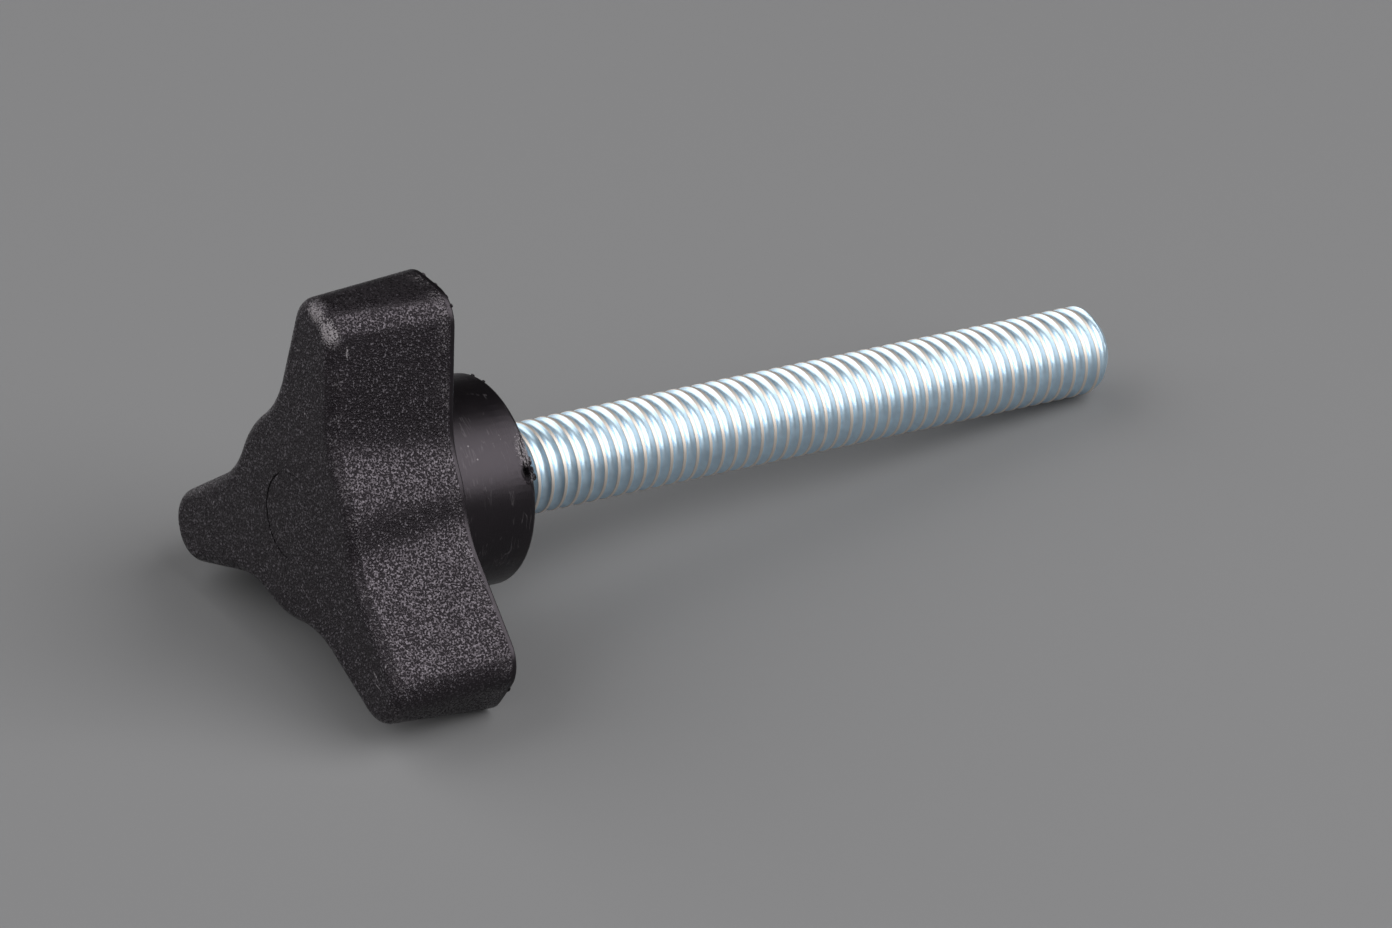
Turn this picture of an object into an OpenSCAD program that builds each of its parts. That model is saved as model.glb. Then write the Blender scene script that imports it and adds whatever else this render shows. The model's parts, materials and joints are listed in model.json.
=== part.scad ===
// Thumb screw: a three-arm moulded knob with a threaded steel stud moulded into its hub.
// It is drawn as it comes to rest, on two arm ends and the stud's point.

/* [Threaded stud] */
// Major diameter of the thread
thread_d = 9.35; // [8.6:0.05:10]
// Length of the thread beyond the hub's end face
thread_length = 76.2; // [40:0.1:120]
// Length of the chamfer at the stud's point
point_chamfer = 1.1; // [0.4:0.1:2]
// Diameter of the plain shank inside the hub
shank_d = 8.4; // [7:0.1:8.5]
// Width across the flats of the head inside the hub
head_across_flats = 14.3; // [12:0.1:16]
// Height of the head inside the hub
head_height = 6; // [4:0.1:8]

/* [Hub] */
// Height of the knob, from its front face to the hub's end face
knob_height = 21.6; // [18:0.1:28]
// Diameter of the round boss that the stud leaves
boss_d = 21.2; // [18:0.1:21.6]
// Height of the boss beyond the backs of the arms
boss_height = 8.3; // [5:0.1:10]
// Radius of the edge at the boss's end
boss_edge = 0.4; // [0.1:0.1:1]
// Diameter of the shallow recess round the stud in the boss's end
recess_d = 10.6; // [10.4:0.1:13]
// Depth of that recess
recess_depth = 0.5; // [0.2:0.1:1]
// Diameter of the hub between the arms, at their backs
hub_d = 22; // [21.8:0.1:24]
// Plastic between the front face and the stud's head
front_wall = 5; // [3:0.1:7]

/* [Arms] */
// Reach of an arm from the axis, at its back
arm_reach = 23.6; // [20:0.1:30]
// Width of an arm at its end, at its back and before the corners are rounded
arm_end_width = 9; // [8:0.1:11]
// Taper of each side of an arm towards its end, in degrees
arm_taper = 9; // [4:0.5:10]
// Radius of the corners at an arm's end
corner_radius = 3.4; // [2:0.1:4]
// Radius of the fillets between the arms and the hub
root_fillet = 10; // [3:0.5:12]
// Radius of the rounded edge round the front face
front_edge = 1.3; // [0.5:0.1:2]
// Draft of the arms' sides, in degrees
side_draft = 6.2; // [1:0.1:7]
// Draft of the arms' ends and of the hub between them, in degrees
end_draft = 1; // [0.5:0.1:3]
// Height of the straight land along the back edge, at the parting line
parting_land = 0.4; // [0.2:0.1:1]

/* [Front mark] */
// Diameter of the fine ring on the front face
ring_d = 9.2; // [6:0.1:14]
// Width of the ring's groove
ring_width = 0.2; // [0.1:0.05:0.5]
// Depth of the ring's groove
ring_depth = 0.15; // [0.1:0.05:0.4]

/* [Hidden] */
$fn = 96;

arm_count = 3;
arm_step = 360 / arm_count;
// Half of the angle between two arms, from an arm's middle to the valley's
half_step = arm_step / 2;
// With this turn one arm points up and the other two stand on the floor
first_arm = 180;
corner_steps = 8;
fillet_steps = 8;
valley_steps = 3;
edge_steps = 6;
// How far one solid runs into the next, so that a join or a cut has no bare skin
lap = 1;

thread_r = thread_d / 2;
point_r = thread_r - point_chamfer;
full_thread = thread_length - point_chamfer;
boss_r = boss_d / 2;
head_top = front_wall - knob_height;
head_seat = head_top + head_height;
// The arms from the parting land to the front face, and where the front edge starts to round
wall_depth = knob_height - boss_height - parting_land;
edge_depth = wall_depth - front_edge;

// Distance of an arm's side from the axis, at a depth in front of the parting land
function side_offset(depth) =
    arm_reach * sin(arm_taper) + (arm_end_width / 2 - depth * tan(side_draft)) * cos(arm_taper);
function reach_at(depth) = arm_reach - depth * tan(end_draft);
function hub_r_at(depth) = hub_d / 2 - depth * tan(end_draft);

// The corners stay within the arm's end at the front, where it is narrowest
corner_limit = (side_offset(wall_depth) - reach_at(wall_depth) * sin(arm_taper)) / (1 - sin(arm_taper));
corner_r = min(corner_radius, corner_limit);
// Two neighbouring fillets stay clear of each other at the back, where the arms are widest
valley_turn = sin(half_step + arm_taper);
fillet_limit = (hub_r_at(0) * valley_turn - side_offset(0)) / (1 - valley_turn);
fillet_r = min(root_fillet, fillet_limit);

function direction(angle) = [cos(angle), sin(angle)];
function turned(p, angle) = [p.x * cos(angle) - p.y * sin(angle), p.x * sin(angle) + p.y * cos(angle)];
function mirrored(p) = [p.x, -p.y];
function backwards(list) = [for (i = [len(list) - 1:-1:0]) list[i]];

// Middle of the fillet beside an arm that lies along X
function fillet_middle(depth) =
    let (out = side_offset(depth) + fillet_r)
    let (far = hub_r_at(depth) + fillet_r)
    let (along = sqrt(far * far - out * out))
    turned([along, out], -arm_taper);

// Half of an arm's outline along X, from its end to the middle of the valley, drawn in by an inset
function corner_arc(depth, inset) =
    let (u = reach_at(depth) - corner_r)
    let (v = (side_offset(depth) - corner_r - u * sin(arm_taper)) / cos(arm_taper))
    [for (i = [0:corner_steps])
        [u, v] + (corner_r - inset) * direction((90 - arm_taper) * i / corner_steps)];
function fillet_arc(depth, inset) =
    let (middle = fillet_middle(depth))
    let (start = 270 - arm_taper)
    let (end = 180 + atan2(middle.y, middle.x))
    [for (i = [0:fillet_steps])
        middle + (fillet_r + inset) * direction(start + (end - start) * i / fillet_steps)];
function valley_arc(depth, inset) =
    let (middle = fillet_middle(depth))
    let (start = atan2(middle.y, middle.x))
    [for (i = [1:valley_steps])
        (hub_r_at(depth) - inset) * direction(start + (half_step - start) * i / valley_steps)];
function half_outline(depth, inset) =
    concat(corner_arc(depth, inset), fillet_arc(depth, inset), valley_arc(depth, inset));

// The whole outline, counter-clockwise: each arm's near half from its valley, then its far half
function arm_outline(half, angle) =
    let (near = [for (i = [0:len(half) - 2]) mirrored(half[i])])
    [for (p = concat(backwards(near), half)) turned(p, angle)];
function outline(depth, inset) =
    let (half = half_outline(depth, inset))
    [for (k = [0:arm_count - 1]) each arm_outline(half, first_arm + k * arm_step)];
function ring(height, depth, inset) =
    [for (p = outline(depth, inset)) [p.x, p.y, height]];
function wall_ring(depth, inset) =
    ring(-boss_height - parting_land - depth, depth, inset);

// Rings of the loft, from the arms' backs to the front face
grip_rings = concat(
    [ring(-boss_height, 0, 0), wall_ring(0, 0)],
    [for (i = [0:edge_steps])
        let (turn = 90 * i / edge_steps)
        wall_ring(edge_depth + front_edge * sin(turn), front_edge * (1 - cos(turn)))]);
grip_points = [for (one = grip_rings) each one];

// How the screw lies: the floor touches the point's full thread and the knob's lowest corner
rest_tilt = max([for (p = grip_points) atan2(p.x - thread_r, full_thread - p.z)]);
rest_height = thread_r * cos(rest_tilt) + full_thread * sin(rest_tilt);
front_end = min([for (p = grip_points) p.z * cos(rest_tilt) - p.x * sin(rest_tilt)]);
point_end = thread_length * cos(rest_tilt) + point_r * sin(rest_tilt);
rest_shift = -(front_end + point_end) / 2;

// Lays down what is drawn upright on the axis, stud upwards, with the hub's end face at zero
module lie_down() {
    translate([rest_shift, 0, rest_height])
        rotate([0, 90 + rest_tilt, 0])
            children();
}

// Three arms and the hub between them, lofted with draft to the rounded front edge
module grip_body() {
    count = len(grip_rings[0]);
    front_start = len(grip_points) - count;
    back_middle = len(grip_points);
    front_middle = back_middle + 1;
    points = concat(grip_points, [[0, 0, -boss_height], [0, 0, -knob_height]]);
    walls = [for (start = [0:count:front_start - count], i = [0:count - 1])
        let (a = start + i)
        let (b = start + (i + 1) % count)
        each [[a, b, b + count], [a, b + count, a + count]]];
    // Each end is a fan about the axis, from which the whole outline is in sight
    ends = [for (i = [0:count - 1])
        let (next = (i + 1) % count)
        each [[next, i, back_middle], [front_start + i, front_start + next, front_middle]]];
    polyhedron(points = points, faces = concat(walls, ends));
}

// Round boss on the stud's side, with a softened end
module boss() {
    translate([0, 0, -boss_height - lap])
        rotate_extrude() {
            square([boss_r - boss_edge, boss_height + lap]);
            square([boss_r, boss_height + lap - boss_edge]);
            translate([boss_r - boss_edge, boss_height + lap - boss_edge])
                circle(r = boss_edge);
        }
}

module head_inside() {
    translate([0, 0, head_top])
        cylinder(d = head_across_flats / cos(30), h = head_height, $fn = 6);
}

module shank_inside(top) {
    translate([0, 0, head_seat - lap])
        cylinder(d = shank_d, h = top - head_seat + lap);
}

module front_ring() {
    translate([0, 0, -knob_height - lap])
        rotate_extrude()
            translate([ring_d / 2 - ring_width, 0])
                square([ring_width, ring_depth + lap]);
}

module knob() {
    color([0.10, 0.095, 0.10])
        lie_down()
            difference() {
                union() {
                    grip_body();
                    boss();
                }
                head_inside();
                shank_inside(lap);
                translate([0, 0, -recess_depth])
                    cylinder(d = recess_d, h = recess_depth + lap);
                front_ring();
            }
}

module threaded_stud() {
    color([0.78, 0.81, 0.84])
        lie_down()
            union() {
                head_inside();
                shank_inside(lap);
                rotate_extrude()
                    polygon([
                        [0, 0],
                        [thread_r, 0],
                        [thread_r, full_thread],
                        [point_r, thread_length],
                        [0, thread_length]
                    ]);
            }
}

knob();
threaded_stud();
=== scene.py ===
"""Looks of a thumb screw: a moulded three-arm knob on a zinc-plated threaded stud.

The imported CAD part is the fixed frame. Each operator below makes one piece in that frame and
lets it stand for the CAD node of the same kind.
"""

import json
import math

import bpy
from bpy.props import FloatProperty, FloatVectorProperty, IntProperty, PointerProperty
from mathutils import Matrix, Vector

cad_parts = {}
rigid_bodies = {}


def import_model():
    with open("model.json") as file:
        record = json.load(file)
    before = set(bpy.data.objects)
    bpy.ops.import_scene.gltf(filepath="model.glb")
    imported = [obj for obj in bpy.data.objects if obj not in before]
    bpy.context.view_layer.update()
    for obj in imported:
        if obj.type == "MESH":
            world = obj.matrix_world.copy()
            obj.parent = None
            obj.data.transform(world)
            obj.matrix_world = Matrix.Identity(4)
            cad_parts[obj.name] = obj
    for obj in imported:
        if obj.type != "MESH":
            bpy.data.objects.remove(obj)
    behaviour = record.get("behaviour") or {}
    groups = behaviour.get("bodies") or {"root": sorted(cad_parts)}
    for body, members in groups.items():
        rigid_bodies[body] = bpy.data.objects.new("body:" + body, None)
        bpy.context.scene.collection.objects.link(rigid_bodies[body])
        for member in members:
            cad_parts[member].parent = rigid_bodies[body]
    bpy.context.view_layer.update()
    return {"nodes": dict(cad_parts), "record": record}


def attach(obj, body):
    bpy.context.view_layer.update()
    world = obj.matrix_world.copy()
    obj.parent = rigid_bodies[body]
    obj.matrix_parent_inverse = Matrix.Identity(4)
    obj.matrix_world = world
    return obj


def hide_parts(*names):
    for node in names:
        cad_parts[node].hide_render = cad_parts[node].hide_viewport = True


bl_info = {
    "name": "Thumb Screw Looks",
    "version": (1, 0, 0),
    "blender": (4, 5, 0),
    "location": "View3D > Sidebar > Thumb Screw",
    "description": "Finishes the knob and the threaded stud of a packed thumb screw",
    "category": "Object",
}

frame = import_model()

MM = 0.001
BODY = "root"
MOUNTS = {mount["name"]: mount for mount in frame["record"]["mounts"]}

# The upright frame has the screw's axis along +Z, stud upwards, and the hub's end face at zero
HUB_FACE = Vector(MOUNTS["clamp_face"]["pos_m"])
SCREW_AXIS = Vector(MOUNTS["clamp_face"]["axis"])
LIE_TURN = math.atan2(SCREW_AXIS.x, SCREW_AXIS.z)
LIE_DOWN = Matrix.Translation(HUB_FACE) @ Matrix.Rotation(LIE_TURN, 4, "Y")
STAND_UP = LIE_DOWN.inverted()


def upright_points(node_name):
    """A CAD node's points in the upright frame."""
    return [STAND_UP @ v.co for v in frame["nodes"][node_name].data.vertices]


# Points closer together than this are one point
WELD = 0.001 * MM
# A point closer than this to a height lies at that height
NEAR = 0.01 * MM
# Distance that keeps a selection off the neighbouring edge
CLEAR = 0.1 * MM

THREAD_R = MOUNTS["stud"]["dims"]["r_mm"] * MM
FULL_THREAD = MOUNTS["stud"]["dims"]["length_mm"] * MM
THREAD_END = max(p.z for p in upright_points("threaded_stud"))

KNOB_POINTS = upright_points("knob")
FRONT = min(p.z for p in KNOB_POINTS)
ARM_REACH = max(p.xy.length for p in KNOB_POINTS)
ARM_BACK = max(p.z for p in KNOB_POINTS if p.xy.length > ARM_REACH - WELD)
# The boss's end, with the recess round the stud
BOSS_END = [p for p in KNOB_POINTS if p.z > ARM_BACK / 2]
BOSS_R = max(p.xy.length for p in BOSS_END)
RECESS_DEPTH = -min(p.z for p in BOSS_END)
# The floor of the fine ring's groove, near the axis and just behind the front face
RING_FLOOR = [
    p for p in KNOB_POINTS
    if p.xy.length < BOSS_R / 2 and FRONT + NEAR < p.z < FRONT + MM
]
RING_R = max(p.xy.length for p in RING_FLOOR)
RING_DEPTH = max(p.z for p in RING_FLOOR) - FRONT

# The fine ring fades out between these places across the front face (mm), to a share of its depth
RING_FADE = (-1.6, 0.8)
RING_LEAST = 0.03
# A face is flat if this share of its normal lies along the axis, and flat neighbours within this
# angle become one
FLAT = 0.99999
FLAT_ANGLE = math.radians(0.2)
# Edges sharper than this are rounded, with this many faces across
SHARP_ANGLE = math.radians(50)
EDGE_STEPS = 3
# Turns of thread drawn below the hub's end face and cut off there, and faces of a rounded corner
LEAD_IN_TURNS = 2.5
ROUND_STEPS = 6
# How far the hidden shank reaches into the thread's foot
SHANK_LAP = 0.05 * MM
# A rough lump: fineness, how far its points are shaken, and the share of that along the normals
LUMP_FINENESS = 3
LUMP_SHAKE = 0.22 * MM
LUMP_OUTWARD = 0.6

# Torn plastic: angle round the axis, radius, height, then half sizes out, round and along (mm)
NICKS = (
    (-135.5, 10.74, -0.10, (0.32, 1.10, 0.80)),
    (-129.0, 10.72, -0.05, (0.36, 0.90, 1.00)),
    (-123.0, 10.70, -0.10, (0.42, 1.00, 0.90)),
    (-120.8, 10.60, -0.66, (0.90, 0.62, 0.50)),
    (-117.0, 10.72, -0.75, (0.26, 0.50, 0.55)),
    (-140.5, 10.74, -0.20, (0.22, 0.60, 0.40)),
    (-132.5, 10.56, -0.78, (0.30, 0.80, 0.10)),
    (-127.0, 10.50, -0.42, (0.34, 0.70, 0.09)),
    (-124.5, 10.50, -0.88, (0.34, 0.60, 0.12)),
    (-136.5, 10.56, -0.40, (0.26, 0.70, 0.08)),
)
BURRS = (
    (-126.6, 10.30, 0.02, (0.24, 0.40, 0.14)),
    (-121.4, 10.22, 0.04, (0.26, 0.36, 0.18)),
    (-117.6, 10.30, 0.06, (0.34, 0.36, 0.24)),
    (-115.2, 10.52, -0.62, (0.18, 0.22, 0.30)),
    (-132.4, 10.36, -0.50, (0.20, 0.40, 0.22)),
    (-126.0, 10.34, -0.62, (0.20, 0.30, 0.20)),
    (165.0, 10.50, -0.06, (0.14, 0.26, 0.16)),
    (176.0, 10.50, -0.10, (0.12, 0.20, 0.14)),
    (177.1, 23.56, -8.38, (0.16, 0.34, 0.11)),
    (-177.6, 23.52, -8.36, (0.13, 0.30, 0.10)),
    (-172.9, 23.34, -8.36, (0.15, 0.36, 0.12)),
    (-170.2, 22.98, -8.36, (0.16, 0.28, 0.12)),
    (-62.2, 23.58, -8.40, (0.14, 0.30, 0.12)),
    (73.6, 17.36, -8.36, (0.12, 0.30, 0.11)),
)
# The deepest pit in the rim: middle and half sizes (mm)
PIT = ((-5.22, -8.76, -0.66), (1.1, 1.1, 0.9))
# Heights at which the boss's side is cut across, so that the torn rim's faces end there (mm)
RIM_CUTS = (-1.8, -2.6)
# Hairline scratches on the boss: turn (degrees) and stretch of each set
HAIRLINES = (
    ((0.0, 0.0, 0.0), (0.4, 0.4, 3.0)),
    ((0.0, 35.0, 20.0), (0.35, 0.35, 2.4)),
)
# Scuffs, and a painted highlight on the top arm's front corner: middle, half sizes (mm), turn about
# the axis (degrees), share of the surface scuffed
SCUFFS_AND_CORNER_HIGHLIGHT = (
    # Along the top arm's front corner: partly a scuff, partly a painted highlight of the rounded
    # corner
    ((-22.33, -0.45, -21.5), (1.10, 2.10, 0.95), 13.2, 0.75),
    ((-21.4, -2.6, -21.35), (1.45, 2.00, 1.20), 36.5, 1.00),
    ((-7.13, -7.91, -0.45), (1.10, 2.50, 1.15), -132.0, 0.70),
    ((-5.0, -9.4, -0.2), (0.80, 0.95, 0.35), -118.0, 0.35),
    ((-19.7, -3.95, -19.85), (0.95, 0.30, 0.16), -8.5, 0.75),
    ((8.62, -17.2, -21.6), (1.10, 0.09, 0.25), -56.2, 0.90),
    ((9.46, -17.7, -21.6), (0.85, 0.07, 0.25), -79.0, 0.85),
    ((-8.4, -6.5, -2.6), (0.40, 0.45, 0.05), -142.0, 0.70),
    ((-8.0, -7.0, -3.6), (0.40, 0.60, 0.03), -139.0, 0.55),
)

# Smooth steps of the finishes run from none to full. Steps of place are in mm from a named base.
# Grain: where it starts below the arms' backs, and where and how much it is shallower at their ends
GRAIN_START = (-0.40, -0.62)
ARM_ENDS = (22.6, 23.3)
END_SHALLOWNESS = 0.55
# Grain: cells in the width of a bump, their softness, their depth, the plateaus, and the tips that
# get a painted glint
CELLS_PER_BUMP = 0.8
CELL_SOFTNESS = 0.5
DIMPLES = 0.3
PLATEAUS = (0.20, 0.38)
GLINT_TIPS = (0.44, 0.58)
# Streaks left by the mould: stretch, width, height and strength of their relief
STREAK_STRETCH = (1.0, 1.0, 9.0)
STREAK_WIDTH = 0.9 * MM
STREAK_HEIGHT = 0.03 * MM
STREAK_STRENGTH = 0.6
# Cloudy patches of the plastic: width, step and how far they darken and lighten it
PATCH_WIDTH = 6.0 * MM
PATCH_STEP = (0.35, 0.65)
PATCH_TINTS = (0.85, 1.15)
# Roughness of the plastic: on the boss, in the grain's pits, less on its plateaus, more by
# patches, more where it is worn or has a painted highlight, and in the pit
BOSS_ROUGHNESS = 0.31
PIT_ROUGHNESS = 0.68
PLATEAU_POLISH = 0.46
PATCH_ROUGHNESS = 0.08
WORN_ROUGHNESS = 0.45
TORN_ROUGHNESS = 0.9
# Shine of the plastic and its tint
PLASTIC_SHINE = 0.39
SHINE_TINT = (1.0, 0.88, 0.99, 1.0)
# The skin of an ellipsoid mask, outside to inside
MASK_SKIN = (1.0, 0.8)
# Scuffs: width of a flake, step from skin to middle, how much denser that makes them, and step
SCUFF_FLAKE = 0.17 * MM
SCUFF_MIDDLE = (1.0, 0.3)
SCUFF_DENSITY = 0.21
SCUFF_STEP = (0.58, 0.74)
# Rubbed edges, partly wear and partly a painted highlight along the rounded edges: the two sides of
# a band from the front face and of one from the arms' backs, then width and step of the flakes and
# of the patches that have them, and share
# These bands are partly a painted highlight of the rounded edges
FRONT_RUB_AND_SHEEN = ((1.6, 0.9), (0.04, 0.3))
BACK_RUB_AND_SHEEN = ((-2.6, -0.9), (-0.5, -0.7))
RUB_AND_SHEEN_FLAKE = 0.16 * MM
RUB_AND_SHEEN_FLAKE_STEP = (0.54, 0.68)
RUB_AND_SHEEN_PATCH = 2.6 * MM
RUB_AND_SHEEN_PATCH_STEP = (0.38, 0.60)
RUB_AND_SHEEN_SHARE = 0.42
# Hairlines: how far apart, half width in the noise, length of the breaks, share, and where they
# start above the arms' backs
HAIRLINE_GAP = 3.0 * MM
HAIRLINE_WIDTH = (0.010, 0.003)
HAIRLINE_BREAK = 1.6 * MM
HAIRLINE_BREAK_STEP = (0.50, 0.62)
HAIRLINE_SHARE = 0.13
HAIRLINE_START = (0.1, 0.4)
# Specks: spacing, radius as a share of the spacing, and share
SPECK_GAP = 2.4 * MM
SPECK_STEP = (0.05, 0.025)
SPECK_SHARE = 0.8
# Zinc: depth of the crests' colour from the thread's outside, then clouds and fine crystals
CREST_BAND = (-0.10, -0.02)
CLOUD_WIDTH = 1.2 * MM
CLOUD_STEP = (0.3, 0.7)
CLOUD_TINTS = (0.93, 1.05)
CRYSTAL_WIDTH = 0.07 * MM
CRYSTAL_HEIGHT = 0.012 * MM
CRYSTAL_STRENGTH = 0.3
# Roughness of the zinc, and what the crests add
ZINC_ROUGHNESS = (0.39, 0.51)
CREST_ROUGHNESS = 0.14
# Middle of a noise, and usual range of the sum of two
NOISE_MIDDLE = 0.5
NOISE_SUM = (0.6, 1.4)

# Soft lamps that face the middle: name, direction, width and height (m), power (W)
LAMPS = (
    ("right_softbox", (0.462, -0.551, 0.695), 1.00, 1.10, 13.4),
    ("left_softbox", (-0.50, 0.58, 0.64), 1.30, 0.95, 9.1),
    ("front_softbox", (-0.75, -0.40, 0.50), 0.90, 0.60, 2.3),
)
# Distance of the lamps and width of the floor (m), and the floor's finish
LAMP_DISTANCE = 1.0
FLOOR_SIZE = 6.0
FLOOR_ROUGHNESS = 0.9
FLOOR_SHINE = 0.2
# The camera's sensor (mm), and the nearest and farthest that it sees (m)
SENSOR_WIDTH = 36.0
CLIP_RANGE = (0.01, 20.0)


class KnobSettings(bpy.types.PropertyGroup):
    """Sizes and colours of the moulded knob."""

    edge_round: FloatProperty(
        name="Edge Round",
        description="Radius of the worn edge at the arms' backs",
        default=0.16 * MM,
        unit="LENGTH",
    )
    smooth_angle: FloatProperty(
        name="Smooth Angle",
        description="Edges flatter than this are shaded smooth",
        default=math.radians(38),
        subtype="ANGLE",
    )
    plastic: FloatVectorProperty(
        name="Plastic",
        description="Colour of the moulded plastic",
        default=(0.0030, 0.0023, 0.0029),
        subtype="COLOR",
    )
    # Painted glint: a lighter colour on the tips of the grain, standing in for their sparkle
    grain_tip_glints: FloatVectorProperty(
        name="Grain Tips",
        description="Colour of the tips of the grain, rubbed by hands",
        default=(0.121, 0.111, 0.123),
        subtype="COLOR",
    )
    # Also the colour of the painted highlights along the rubbed edges and on the top arm's corner
    scuffed_and_highlight: FloatVectorProperty(
        name="Scuffed",
        description="Colour of scuffed and torn plastic",
        default=(0.31, 0.287, 0.30),
        subtype="COLOR",
    )
    grain_size: FloatProperty(
        name="Grain Size",
        description="Width of one bump of the spark-eroded grain",
        default=0.19 * MM,
        unit="LENGTH",
    )
    grain_height: FloatProperty(
        name="Grain Height",
        description="Depth of the pits between the grain's bumps",
        default=0.05 * MM,
        unit="LENGTH",
    )


class StudSettings(bpy.types.PropertyGroup):
    """Sizes and colours of the threaded stud."""

    pitch: FloatProperty(
        name="Pitch",
        description="Rise of the thread in one turn",
        default=1.5875 * MM,
        unit="LENGTH",
    )
    flank_angle: FloatProperty(
        name="Flank Angle",
        description="Rise of the thread's flanks from the axis",
        default=math.radians(55),
        subtype="ANGLE",
    )
    root_round: FloatProperty(
        name="Root Round",
        description="Radius of the thread's rolled root",
        default=0.60 * MM,
        unit="LENGTH",
    )
    crest_round: FloatProperty(
        name="Crest Round",
        description="Radius of the crest's edges",
        default=0.05 * MM,
        unit="LENGTH",
    )
    crest_width: FloatProperty(
        name="Crest Width",
        description="Width of the thread's crest",
        default=0.28 * MM,
        unit="LENGTH",
    )
    smooth_angle: FloatProperty(
        name="Smooth Angle",
        description="Edges flatter than this are shaded smooth",
        default=math.radians(40),
        subtype="ANGLE",
    )
    steps: IntProperty(
        name="Steps",
        description="Faces in one turn of the thread",
        default=72,
        min=24,
    )
    flank: FloatVectorProperty(
        name="Flank",
        description="Colour of the zinc on the flanks",
        default=(0.655, 0.83, 0.965),
        subtype="COLOR",
    )
    crest: FloatVectorProperty(
        name="Crest",
        description="Colour of the zinc on the crests",
        default=(0.725, 0.665, 0.61),
        subtype="COLOR",
    )


class StageSettings(bpy.types.PropertyGroup):
    """Floor, lamps and camera."""

    floor: FloatVectorProperty(
        name="Floor",
        description="Colour of the floor",
        default=(0.19, 0.19, 0.193),
        subtype="COLOR",
    )
    ambient: FloatProperty(
        name="Ambient",
        description="Strength of the soft light from all round",
        default=0.026,
    )
    azimuth: FloatProperty(
        name="Azimuth",
        description="Camera's place round the object",
        default=math.radians(-34.705),
        subtype="ANGLE",
    )
    elevation: FloatProperty(
        name="Elevation",
        description="Camera's height above the horizon",
        default=math.radians(31.797),
        subtype="ANGLE",
    )
    roll: FloatProperty(
        name="Roll",
        description="Camera's turn about its line of sight, right side up",
        default=math.radians(1.229),
        subtype="ANGLE",
    )
    distance: FloatProperty(
        name="Distance",
        description="Camera's distance from the point it aims at",
        default=699.82 * MM,
        unit="LENGTH",
    )
    lens: FloatProperty(
        name="Lens",
        description="Focal length in millimetres on a 36 mm sensor",
        default=183.27,
    )
    aim: FloatVectorProperty(
        name="Aim",
        description="Point that the camera aims at",
        default=(-8.283 * MM, -11.475 * MM, 15.34 * MM),
        subtype="TRANSLATION",
    )


def deselect_all():
    """Leave edit mode and select nothing."""
    if bpy.context.mode != "OBJECT":
        bpy.ops.object.mode_set(mode="OBJECT")
    bpy.ops.object.select_all(action="DESELECT")


def pick(piece):
    """Select one object alone and make it active."""
    deselect_all()
    piece.select_set(True)
    bpy.context.view_layer.objects.active = piece


def apply_modifier(piece, kind, **options):
    """Add a modifier to a piece and apply it."""
    pick(piece)
    modifier = piece.modifiers.new(kind.title(), kind)
    for option, value in options.items():
        setattr(modifier, option, value)
    bpy.ops.object.modifier_apply(modifier=modifier.name)


def remove(piece):
    """Delete a helper object and its mesh."""
    mesh = piece.data
    bpy.data.objects.remove(piece)
    bpy.data.meshes.remove(mesh)


def upright_copy(node_name, piece_name):
    """A CAD node's copy as a new piece, stood upright, with its loose triangles welded."""
    mesh = frame["nodes"][node_name].data.copy()
    mesh.name = piece_name
    mesh.materials.clear()
    mesh.transform(STAND_UP)
    piece = bpy.data.objects.new(piece_name, mesh)
    bpy.context.scene.collection.objects.link(piece)
    pick(piece)
    bpy.ops.object.mode_set(mode="EDIT")
    bpy.ops.mesh.select_all(action="SELECT")
    bpy.ops.mesh.remove_doubles(threshold=WELD)
    bpy.ops.mesh.customdata_custom_splitnormals_clear()
    bpy.ops.object.mode_set(mode="OBJECT")
    return piece


def rough_lump(angle, radius, height, half_sizes, seed):
    """Small roughened lump at a place round the axis, in degrees and millimetres."""
    deselect_all()
    bpy.ops.mesh.primitive_ico_sphere_add(
        subdivisions=LUMP_FINENESS, radius=MM, location=(0.0, 0.0, 0.0)
    )
    lump = bpy.context.active_object
    bpy.ops.object.mode_set(mode="EDIT")
    bpy.ops.mesh.select_all(action="SELECT")
    bpy.ops.transform.vertex_random(offset=LUMP_SHAKE, normal=LUMP_OUTWARD, seed=seed)
    bpy.ops.object.mode_set(mode="OBJECT")
    turn = Matrix.Rotation(math.radians(angle), 4, "Z")
    place = Matrix.Translation((radius * MM, 0.0, height * MM))
    lump.data.transform(turn @ place @ Matrix.Diagonal((*half_sizes, 1.0)))
    return lump


def lay_down(piece, material, node_name):
    """Lay an upright piece down as the part lies, finish it and let it stand for its CAD node."""
    piece.data.transform(LIE_DOWN)
    piece.data.materials.append(material)
    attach(piece, BODY)
    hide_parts(node_name)


def select_edges(piece, wanted):
    """Select the sharp edges, in edit mode, whose two ends both pass a test of place."""
    bpy.ops.mesh.select_mode(type="EDGE")
    bpy.ops.mesh.select_all(action="DESELECT")
    bpy.ops.mesh.edges_select_sharp(sharpness=SHARP_ANGLE)
    bpy.ops.object.mode_set(mode="OBJECT")
    points = piece.data.vertices
    for part in (*points, *piece.data.polygons):
        part.select = False
    for edge in piece.data.edges:
        edge.select = edge.select and all(wanted(points[i].co) for i in edge.vertices)
    bpy.ops.object.mode_set(mode="EDIT")


def node(tree, kind, inputs=None, **options):
    """New shader node; an input takes a plain value or another node's output."""
    made = tree.nodes.new(kind)
    for option, value in options.items():
        setattr(made, option, value)
    for socket, value in (inputs or {}).items():
        if isinstance(value, bpy.types.NodeSocket):
            tree.links.new(value, made.inputs[socket])
        else:
            made.inputs[socket].default_value = value
    return made


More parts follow.
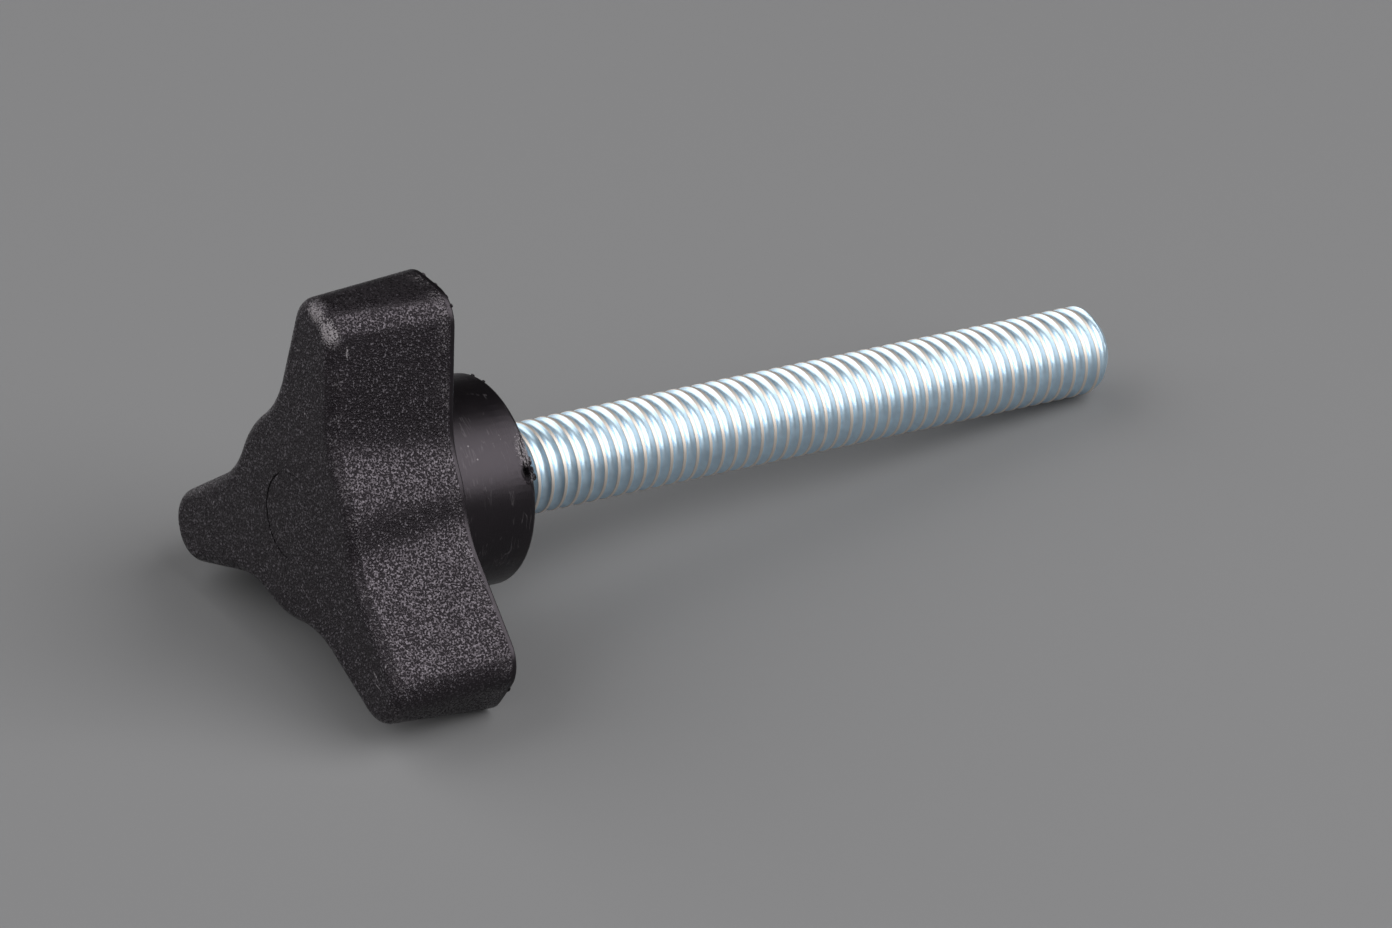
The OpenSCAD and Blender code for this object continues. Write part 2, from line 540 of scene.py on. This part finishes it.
def math_node(tree, operation, first, second=0.0):
    """Result of one Math node."""
    return node(tree, "ShaderNodeMath", {0: first, 1: second}, operation=operation).outputs[0]


def product(tree, *factors):
    """Product of some values, taken from the left."""
    result = factors[0]
    for factor in factors[1:]:
        result = math_node(tree, "MULTIPLY", result, factor)
    return result


def ramp(tree, value, low, high):
    """Smooth step of a value from 0 at low to 1 at high."""
    made = node(
        tree,
        "ShaderNodeMapRange",
        {"Value": value, "From Min": low, "From Max": high},
        interpolation_type="SMOOTHSTEP",
    )
    return made.outputs["Result"]


def step_from(tree, place, base, step):
    """Smooth step between two places, in millimetres from a base."""
    return ramp(tree, place, *(base + limit * MM for limit in step))


def band(tree, place, base, sides):
    """Band between two smooth steps, in millimetres from a base."""
    return product(tree, *(step_from(tree, place, base, side) for side in sides))


def between(tree, share, low, high):
    """Value from low, where the share is 0, to high, where it is 1."""
    made = node(tree, "ShaderNodeMapRange", {"Value": share, "To Min": low, "To Max": high})
    return made.outputs["Result"]


def vary(tree, first, second, low, high):
    """Value from low to high that follows the sum of two noises."""
    least, most = NOISE_SUM
    made = node(
        tree,
        "ShaderNodeMapRange",
        {
            "Value": math_node(tree, "ADD", first, second),
            "From Min": least,
            "From Max": most,
            "To Min": low,
            "To Max": high,
        },
    )
    return made.outputs["Result"]


def blend_colour(tree, share, first, second):
    """Mix of two colours by a share."""
    made = node(tree, "ShaderNodeMix", {0: share}, data_type="RGBA")
    # A Mix node's colours are its sockets 6 and 7, and its output 2
    for socket, value in ((6, first), (7, second)):
        if isinstance(value, bpy.types.NodeSocket):
            tree.links.new(value, made.inputs[socket])
        else:
            made.inputs[socket].default_value = (*value, 1.0)
    return made.outputs[2]


def tinted(colour, share):
    """A colour made darker or lighter, up to white."""
    return [min(1.0, c * share) for c in colour]


def cloudy(tree, clouds, step, colour, tints):
    """A colour that clouds darken and lighten."""
    dark, light = (tinted(colour, tint) for tint in tints)
    return blend_colour(tree, ramp(tree, clouds, *step), dark, light)


def noise(tree, coords, size, detail=2.0, roughness=0.5):
    """Noise whose features are about as wide as size."""
    made = node(
        tree,
        "ShaderNodeTexNoise",
        {"Vector": coords, "Scale": 1.0 / size, "Detail": detail, "Roughness": roughness},
    )
    return made.outputs["Fac"]


def stretched(tree, coords, stretch, turn=(0.0, 0.0, 0.0)):
    """Coordinates turned, in degrees, and stretched along each axis."""
    return node(
        tree,
        "ShaderNodeMapping",
        {"Vector": coords, "Rotation": [math.radians(t) for t in turn], "Scale": stretch},
    ).outputs["Vector"]


def bump(tree, height, distance, strength, **under):
    """Normal of a relief, laid over the normal under it if one is given."""
    relief = {"Strength": strength, "Distance": distance, "Height": height, **under}
    return node(tree, "ShaderNodeBump", relief).outputs["Normal"]


def new_material(name):
    """Empty node material: its tree, its Principled shader and the upright coordinates."""
    material = bpy.data.materials.new(name)
    material.use_nodes = True
    tree = material.node_tree
    shader = tree.nodes["Principled BSDF"]
    place = node(tree, "ShaderNodeTexCoord").outputs["Object"]
    upright = node(
        tree,
        "ShaderNodeMapping",
        {"Vector": place, "Location": HUB_FACE, "Rotation": (0.0, LIE_TURN, 0.0)},
        vector_type="TEXTURE",
    ).outputs["Vector"]
    return material, tree, shader, upright


def polar(tree, upright):
    """Radius from the screw's axis and height along it."""
    parts = node(tree, "ShaderNodeSeparateXYZ", {0: upright})
    flat = node(tree, "ShaderNodeCombineXYZ", {0: parts.outputs[0], 1: parts.outputs[1]})
    radius = node(tree, "ShaderNodeVectorMath", {0: flat.outputs[0]}, operation="LENGTH")
    return radius.outputs["Value"], parts.outputs[2]


def distance_in(tree, upright, middle, half_sizes, turn=0.0):
    """Distance from the middle of an ellipsoid, 1 at its skin."""
    local = node(
        tree,
        "ShaderNodeMapping",
        {
            "Vector": upright,
            "Location": [c * MM for c in middle],
            "Rotation": (0.0, 0.0, math.radians(turn)),
            "Scale": [c * MM for c in half_sizes],
        },
        vector_type="TEXTURE",
    ).outputs["Vector"]
    return node(tree, "ShaderNodeVectorMath", {0: local}, operation="LENGTH").outputs["Value"]


def inside(tree, away):
    """Mask of an ellipsoid, from the distance in it."""
    return ramp(tree, away, *MASK_SKIN)


def patchy_mask(tree, upright, middle, half_sizes, turn, share):
    """Patchy mask inside an ellipsoid, denser towards its middle."""
    away = distance_in(tree, upright, middle, half_sizes, turn)
    flakes = noise(tree, upright, SCUFF_FLAKE, roughness=0.6)
    denser = product(tree, ramp(tree, away, *SCUFF_MIDDLE), SCUFF_DENSITY)
    torn = ramp(tree, math_node(tree, "ADD", denser, flakes), *SCUFF_STEP)
    return product(tree, torn, inside(tree, away), share)


def edge_wear_and_sheen(tree, upright, height):
    """Rubbed grain, partly wear and partly a painted highlight, along the front edge and the arms'
    backs.
    """
    front = band(tree, height, FRONT, FRONT_RUB_AND_SHEEN)
    back = band(tree, height, ARM_BACK, BACK_RUB_AND_SHEEN)
    flakes = ramp(tree, noise(tree, upright, RUB_AND_SHEEN_FLAKE, detail=1.0), *RUB_AND_SHEEN_FLAKE_STEP)
    where = ramp(tree, noise(tree, upright, RUB_AND_SHEEN_PATCH), *RUB_AND_SHEEN_PATCH_STEP)
    both = math_node(tree, "MAXIMUM", front, back)
    return product(tree, flakes, where, both, RUB_AND_SHEEN_SHARE)


def hairlines(tree, upright, where, turn, stretch):
    """Broken hairline scratches, drawn out across a turned direction."""
    drawn_out = stretched(tree, upright, stretch, turn)
    field = math_node(tree, "SUBTRACT", noise(tree, drawn_out, HAIRLINE_GAP), NOISE_MIDDLE)
    line = ramp(tree, math_node(tree, "ABSOLUTE", field), *HAIRLINE_WIDTH)
    broken = ramp(tree, noise(tree, upright, HAIRLINE_BREAK), *HAIRLINE_BREAK_STEP)
    return product(tree, line, broken, HAIRLINE_SHARE, where)


def wear_and_highlights(tree, upright, height):
    """Share of the plastic that is specked, scratched, rubbed, scuffed or given a painted
    highlight.
    """
    specks = node(
        tree, "ShaderNodeTexVoronoi", {"Vector": upright, "Scale": 1.0 / SPECK_GAP}
    ).outputs["Distance"]
    worn_and_highlit = product(tree, ramp(tree, specks, *SPECK_STEP), SPECK_SHARE)
    on_boss = step_from(tree, height, ARM_BACK, HAIRLINE_START)
    masks = [hairlines(tree, upright, on_boss, *lines) for lines in HAIRLINES]
    masks.append(edge_wear_and_sheen(tree, upright, height))
    masks.extend(patchy_mask(tree, upright, *scuff) for scuff in SCUFFS_AND_CORNER_HIGHLIGHT)
    for mask in masks:
        worn_and_highlit = math_node(tree, "MAXIMUM", worn_and_highlit, mask)
    return worn_and_highlit


def spark_grain(tree, upright, size):
    """Grain of a spark-eroded mould: soft bumps, less the dimples of small cells."""
    bumps = noise(tree, upright, size, detail=1.0)
    cells = node(
        tree,
        "ShaderNodeTexVoronoi",
        {"Vector": upright, "Scale": CELLS_PER_BUMP / size, "Smoothness": CELL_SOFTNESS},
        feature="SMOOTH_F1",
    ).outputs["Distance"]
    return math_node(tree, "SUBTRACT", bumps, product(tree, cells, DIMPLES))


def connect(tree, shader, colour, roughness, normal):
    """Plug a finish into its shader."""
    for socket, made in (("Base Color", colour), ("Roughness", roughness), ("Normal", normal)):
        tree.links.new(made, shader.inputs[socket])


def black_plastic(settings):
    """Near-black moulded plastic: spark-eroded grain on the arms, satin on the boss."""
    material, tree, shader, upright = new_material("black_plastic")
    radius, height = polar(tree, upright)
    grained = step_from(tree, height, ARM_BACK, GRAIN_START)
    ends = step_from(tree, radius, 0.0, ARM_ENDS)
    shallow = math_node(tree, "SUBTRACT", 1.0, product(tree, ends, END_SHALLOWNESS))
    depth = product(tree, grained, shallow)
    grain = spark_grain(tree, upright, settings.grain_size)
    relief = ramp(tree, grain, *PLATEAUS)
    tip_glints = product(tree, ramp(tree, grain, *GLINT_TIPS), depth)
    drawn_out = stretched(tree, upright, STREAK_STRETCH)
    streaks = noise(tree, drawn_out, STREAK_WIDTH, detail=4.0, roughness=0.7)
    patches = noise(tree, upright, PATCH_WIDTH, detail=3.0)
    worn_and_highlit = wear_and_highlights(tree, upright, height)

    tint = cloudy(tree, patches, PATCH_STEP, settings.plastic, PATCH_TINTS)
    # Painted glint: the grain's tips are coloured lighter, standing in for their sparkle
    tint = blend_colour(tree, tip_glints, tint, settings.grain_tip_glints)
    # Scuffed colour over the wear, and over the painted highlights on the edges and the top arm's
    # corner
    colour = blend_colour(tree, worn_and_highlit, tint, settings.scuffed_and_highlight)

    polish = product(tree, relief, PLATEAU_POLISH)
    grain_roughness = math_node(tree, "SUBTRACT", PIT_ROUGHNESS, polish)
    satin = between(tree, grained, BOSS_ROUGHNESS, grain_roughness)
    rougher = math_node(tree, "ADD", satin, PATCH_ROUGHNESS)
    roughness = vary(tree, patches, streaks, satin, rougher)
    roughness = math_node(tree, "ADD", roughness, product(tree, worn_and_highlit, WORN_ROUGHNESS))
    torn = product(tree, inside(tree, distance_in(tree, upright, *PIT)), TORN_ROUGHNESS)
    roughness = math_node(tree, "MAXIMUM", roughness, torn)

    normal = bump(tree, relief, settings.grain_height, depth)
    normal = bump(tree, streaks, STREAK_HEIGHT, STREAK_STRENGTH, Normal=normal)
    connect(tree, shader, colour, roughness, normal)
    shader.inputs["Specular IOR Level"].default_value = PLASTIC_SHINE
    shader.inputs["Specular Tint"].default_value = SHINE_TINT
    return material


def zinc_plate(settings):
    """Blue-white zinc on steel, warmer along the crests."""
    material, tree, shader, upright = new_material("zinc_plate")
    radius, _ = polar(tree, upright)
    crests = step_from(tree, radius, THREAD_R, CREST_BAND)
    clouds = noise(tree, upright, CLOUD_WIDTH, detail=4.0, roughness=0.6)
    crystals = noise(tree, upright, CRYSTAL_WIDTH, detail=3.0, roughness=0.6)
    flank = cloudy(tree, clouds, CLOUD_STEP, settings.flank, CLOUD_TINTS)
    colour = blend_colour(tree, crests, flank, settings.crest)
    roughness = vary(tree, clouds, crystals, *ZINC_ROUGHNESS)
    roughness = math_node(tree, "ADD", roughness, product(tree, crests, CREST_ROUGHNESS))
    normal = bump(tree, crystals, CRYSTAL_HEIGHT, CRYSTAL_STRENGTH)
    connect(tree, shader, colour, roughness, normal)
    shader.inputs["Metallic"].default_value = 1.0
    return material


class THUMBSCREW_OT_knob(bpy.types.Operator):
    """Finish the moulded three-arm knob"""

    bl_idname = "thumbscrew.knob"
    bl_label = "Knob"

    def execute(self, context):
        settings = context.scene.thumbscrew_knob
        knob = upright_copy("knob", "moulded_knob")
        self.round_back_edges(knob, settings)
        self.wear_ring(knob)
        self.tear(knob)
        self.drop_crumbs(knob)
        bpy.ops.object.shade_smooth_by_angle(angle=settings.smooth_angle)
        apply_modifier(knob, "WEIGHTED_NORMAL", keep_sharp=True)
        lay_down(knob, black_plastic(settings), "knob")
        return {"FINISHED"}

    def round_back_edges(self, knob, settings):
        """Make each flat end one face, and round the sharp outline at the arms' backs."""
        bpy.ops.object.mode_set(mode="EDIT")
        bpy.ops.mesh.select_mode(type="FACE")
        bpy.ops.mesh.select_all(action="DESELECT")
        bpy.ops.object.mode_set(mode="OBJECT")
        for face in knob.data.polygons:
            flat = abs(face.normal.z) > FLAT
            face.select = flat and abs(face.center.z - FRONT - RING_DEPTH) > NEAR
        bpy.ops.object.mode_set(mode="EDIT")
        bpy.ops.mesh.dissolve_limited(angle_limit=FLAT_ANGLE)
        select_edges(
            knob,
            lambda p: abs(p.z - ARM_BACK) < NEAR and p.xy.length > BOSS_R + CLEAR,
        )
        bpy.ops.mesh.bevel(offset=settings.edge_round, segments=EDGE_STEPS, affect="EDGES")
        bpy.ops.object.mode_set(mode="OBJECT")

    def wear_ring(self, knob):
        """Let the fine ring on the front face fade out on one side."""
        floor = FRONT + RING_DEPTH
        faded, whole = (place * MM for place in RING_FADE)
        for v in knob.data.vertices:
            if abs(v.co.z - floor) < NEAR and v.co.xy.length < RING_R + CLEAR:
                share = (v.co.y - faded) / (whole - faded)
                v.co.z = FRONT + RING_DEPTH * min(1.0, max(RING_LEAST, share))

    def tear(self, knob):
        """Cut the nicks out of the hub's rim, and add the burrs along the edges."""
        bpy.ops.object.mode_set(mode="EDIT")
        for height in RIM_CUTS:
            bpy.ops.mesh.select_all(action="SELECT")
            bpy.ops.mesh.bisect(plane_co=(0.0, 0.0, height * MM), plane_no=(0.0, 0.0, 1.0))
        bpy.ops.object.mode_set(mode="OBJECT")
        for operation, lumps in (("DIFFERENCE", NICKS), ("UNION", BURRS)):
            for seed, lump in enumerate(lumps):
                rough = rough_lump(*lump, seed)
                apply_modifier(knob, "BOOLEAN", operation=operation, solver="EXACT", object=rough)
                remove(rough)

    def drop_crumbs(self, knob):
        """Delete the loose crumbs that the cuts leave beside the knob."""
        pick(knob)
        bpy.ops.object.mode_set(mode="EDIT")
        bpy.ops.mesh.select_mode(type="VERT")
        bpy.ops.mesh.select_all(action="DESELECT")
        bpy.ops.object.mode_set(mode="OBJECT")
        min(knob.data.vertices, key=lambda v: v.co.z).select = True
        bpy.ops.object.mode_set(mode="EDIT")
        bpy.ops.mesh.select_linked()
        bpy.ops.mesh.select_all(action="INVERT")
        bpy.ops.mesh.delete(type="VERT")
        bpy.ops.object.mode_set(mode="OBJECT")


class THUMBSCREW_OT_stud(bpy.types.Operator):
    """Roll the thread of the zinc-plated stud"""

    bl_idname = "thumbscrew.stud"
    bl_label = "Threaded Stud"

    def execute(self, context):
        settings = context.scene.thumbscrew_stud
        stud = self.tooth(settings)
        self.roll(stud, settings)
        self.trim(stud)
        self.add_head(stud)
        pick(stud)
        bpy.ops.object.shade_smooth_by_angle(angle=settings.smooth_angle)
        lay_down(stud, zinc_plate(settings), "threaded_stud")
        return {"FINISHED"}

    def half_tooth(self, settings):
        """Points (out from the root, along the axis) from the root's middle to the crest's."""
        steep = settings.flank_angle
        root, crest = settings.root_round, settings.crest_round
        side = settings.pitch / 2 - (root + crest) * math.sin(steep) - settings.crest_width / 2
        points = []
        for i in range(ROUND_STEPS + 1):
            turn = steep * i / ROUND_STEPS
            points.append((root * (1 - math.cos(turn)), root * math.sin(turn)))
        shoulder = (points[-1][0] + side * math.tan(steep), points[-1][1] + side)
        for i in range(ROUND_STEPS + 1):
            turn = steep * (1 - i / ROUND_STEPS)
            points.append((
                shoulder[0] + crest * (math.cos(turn) - math.cos(steep)),
                shoulder[1] + crest * (math.sin(steep) - math.sin(turn)),
            ))
        return points

    def tooth(self, settings):
        """Profile of one tooth, drawn by extruding a vertex from root to root."""
        rising = self.half_tooth(settings)
        depth = rising[-1][0]
        falling = [(out, settings.pitch - along) for out, along in reversed(rising)]
        points = rising + falling
        deselect_all()
        bpy.ops.mesh.primitive_plane_add(size=MM, location=(0.0, 0.0, 0.0))
        stud = bpy.context.active_object
        stud.name = stud.data.name = "zinc_stud"
        bpy.ops.object.mode_set(mode="EDIT")
        bpy.ops.mesh.select_mode(type="VERT")
        bpy.ops.mesh.select_all(action="SELECT")
        bpy.ops.mesh.merge(type="CENTER")
        bpy.ops.transform.translate(
            value=(THREAD_R - depth, 0.0, -LEAD_IN_TURNS * settings.pitch)
        )
        for (out, along), (next_out, next_along) in zip(points, points[1:]):
            bpy.ops.mesh.extrude_region_move(
                TRANSFORM_OT_translate={"value": (next_out - out, 0.0, next_along - along)}
            )
        bpy.ops.object.mode_set(mode="OBJECT")
        return stud

    def roll(self, stud, settings):
        """Sweep the tooth round the axis, one pitch a turn."""
        apply_modifier(
            stud,
            "SCREW",
            axis="Z",
            angle=2 * math.pi,
            screw_offset=settings.pitch,
            iterations=math.ceil(THREAD_END / settings.pitch + LEAD_IN_TURNS) + 1,
            steps=settings.steps,
            render_steps=settings.steps,
        )
        bpy.ops.object.mode_set(mode="EDIT")
        bpy.ops.mesh.select_all(action="SELECT")
        bpy.ops.mesh.remove_doubles(threshold=WELD)
        bpy.ops.object.mode_set(mode="OBJECT")

    def trim(self, stud):
        """Cut the thread at the recess's floor and at the point, and chamfer the point."""
        pick(stud)
        bpy.ops.object.mode_set(mode="EDIT")
        for height, outwards in ((-RECESS_DEPTH, -1.0), (THREAD_END, 1.0)):
            bpy.ops.mesh.select_all(action="SELECT")
            bpy.ops.mesh.bisect(
                plane_co=(0.0, 0.0, height),
                plane_no=(0.0, 0.0, outwards),
                use_fill=True,
                clear_outer=True,
                threshold=WELD,
            )
        bpy.ops.mesh.select_all(action="SELECT")
        bpy.ops.mesh.remove_doubles(threshold=WELD)
        bpy.ops.mesh.normals_make_consistent(inside=False)
        bpy.ops.object.mode_set(mode="OBJECT")
        # The chamfer draws in by as much as it runs beyond the full thread
        for v in stud.data.vertices:
            limit = THREAD_R - max(0.0, v.co.z - FULL_THREAD)
            radius = v.co.xy.length
            if radius > limit:
                v.co.x *= limit / radius
                v.co.y *= limit / radius

    def add_head(self, stud):
        """Join the shank and the head that the knob is moulded round."""
        head = upright_copy("threaded_stud", "hidden_head")
        bpy.ops.object.mode_set(mode="EDIT")
        bpy.ops.mesh.select_all(action="SELECT")
        bpy.ops.mesh.bisect(
            plane_co=(0.0, 0.0, SHANK_LAP - RECESS_DEPTH),
            plane_no=(0.0, 0.0, 1.0),
            use_fill=True,
            clear_outer=True,
        )
        bpy.ops.object.mode_set(mode="OBJECT")
        apply_modifier(stud, "BOOLEAN", operation="UNION", solver="EXACT", object=head)
        remove(head)


class THUMBSCREW_OT_stage(bpy.types.Operator):
    """Set the floor, the soft lamps and the camera"""

    bl_idname = "thumbscrew.stage"
    bl_label = "Stage"

    def execute(self, context):
        settings = context.scene.thumbscrew_stage
        self.lay_floor(settings)
        self.light(context.scene, settings)
        self.set_camera(context.scene, settings)
        context.scene.view_settings.view_transform = "Standard"
        return {"FINISHED"}

    def lay_floor(self, settings):
        """Lay a plain sheet under the screw."""
        deselect_all()
        bpy.ops.mesh.primitive_plane_add(size=FLOOR_SIZE, location=(0.0, 0.0, 0.0))
        floor = bpy.context.active_object
        floor.name = "floor"
        material = bpy.data.materials.new("pale_paper")
        material.use_nodes = True
        shader = material.node_tree.nodes["Principled BSDF"]
        shader.inputs["Base Color"].default_value = (*settings.floor, 1.0)
        shader.inputs["Roughness"].default_value = FLOOR_ROUGHNESS
        shader.inputs["Specular IOR Level"].default_value = FLOOR_SHINE
        floor.data.materials.append(material)

    def light(self, scene, settings):
        """Light the screw with soft lamps and a dim white room."""
        world = bpy.data.worlds.new("soft_room")
        world.use_nodes = True
        scene.world = world
        background = world.node_tree.nodes["Background"]
        background.inputs["Color"].default_value = (1.0, 1.0, 1.0, 1.0)
        background.inputs["Strength"].default_value = settings.ambient
        for name, direction, width, tall, power in LAMPS:
            lamp = bpy.data.lights.new(name, "AREA")
            lamp.shape = "RECTANGLE"
            lamp.size, lamp.size_y = width, tall
            lamp.energy = power
            lamp_object = bpy.data.objects.new(name, lamp)
            lamp_object.location = Vector(direction).normalized() * LAMP_DISTANCE
            lamp_object.rotation_euler = Vector(direction).to_track_quat("Z", "Y").to_euler()
            scene.collection.objects.link(lamp_object)

    def set_camera(self, scene, settings):
        """Look at the screw from the photograph's place."""
        az, el = settings.azimuth, settings.elevation
        back = Vector((math.sin(az) * math.cos(el), -math.cos(az) * math.cos(el), math.sin(el)))
        level = Vector((math.cos(az), math.sin(az), 0.0))
        right = Matrix.Rotation(settings.roll, 3, back) @ level
        up = back.cross(right)
        turn = Matrix((right, up, back)).transposed().to_4x4()
        camera_data = bpy.data.cameras.new("photo_camera")
        camera_data.sensor_width = SENSOR_WIDTH
        camera_data.lens = settings.lens
        camera_data.clip_start, camera_data.clip_end = CLIP_RANGE
        camera = bpy.data.objects.new("photo_camera", camera_data)
        place = Vector(settings.aim) + back * settings.distance
        camera.matrix_world = Matrix.Translation(place) @ turn
        scene.collection.objects.link(camera)
        scene.camera = camera


class THUMBSCREW_PT_panel(bpy.types.Panel):
    """Lists the pieces in the sidebar"""

    bl_idname = "THUMBSCREW_PT_panel"
    bl_label = "Thumb Screw"
    bl_space_type = "VIEW_3D"
    bl_region_type = "UI"
    bl_category = "Thumb Screw"

    def draw(self, context):
        """Draw one button for each piece and one for the stage."""
        for operator in OPERATORS:
            self.layout.operator(operator.bl_idname)


SETTINGS = {
    "thumbscrew_knob": KnobSettings,
    "thumbscrew_stud": StudSettings,
    "thumbscrew_stage": StageSettings,
}
OPERATORS = (THUMBSCREW_OT_knob, THUMBSCREW_OT_stud, THUMBSCREW_OT_stage)


def register():
    """Register the settings, the operators and the panel."""
    for name, group in SETTINGS.items():
        bpy.utils.register_class(group)
        setattr(bpy.types.Scene, name, PointerProperty(type=group))
    for cls in (*OPERATORS, THUMBSCREW_PT_panel):
        bpy.utils.register_class(cls)


def unregister():
    """Take back what register did, in the other order."""
    for cls in (THUMBSCREW_PT_panel, *reversed(OPERATORS)):
        bpy.utils.unregister_class(cls)
    for name, group in SETTINGS.items():
        delattr(bpy.types.Scene, name)
        bpy.utils.unregister_class(group)


def main():
    """Make the pieces and the stage."""
    register()
    bpy.ops.thumbscrew.knob()
    bpy.ops.thumbscrew.stud()
    bpy.ops.thumbscrew.stage()


if __name__ == "__main__":
    main()
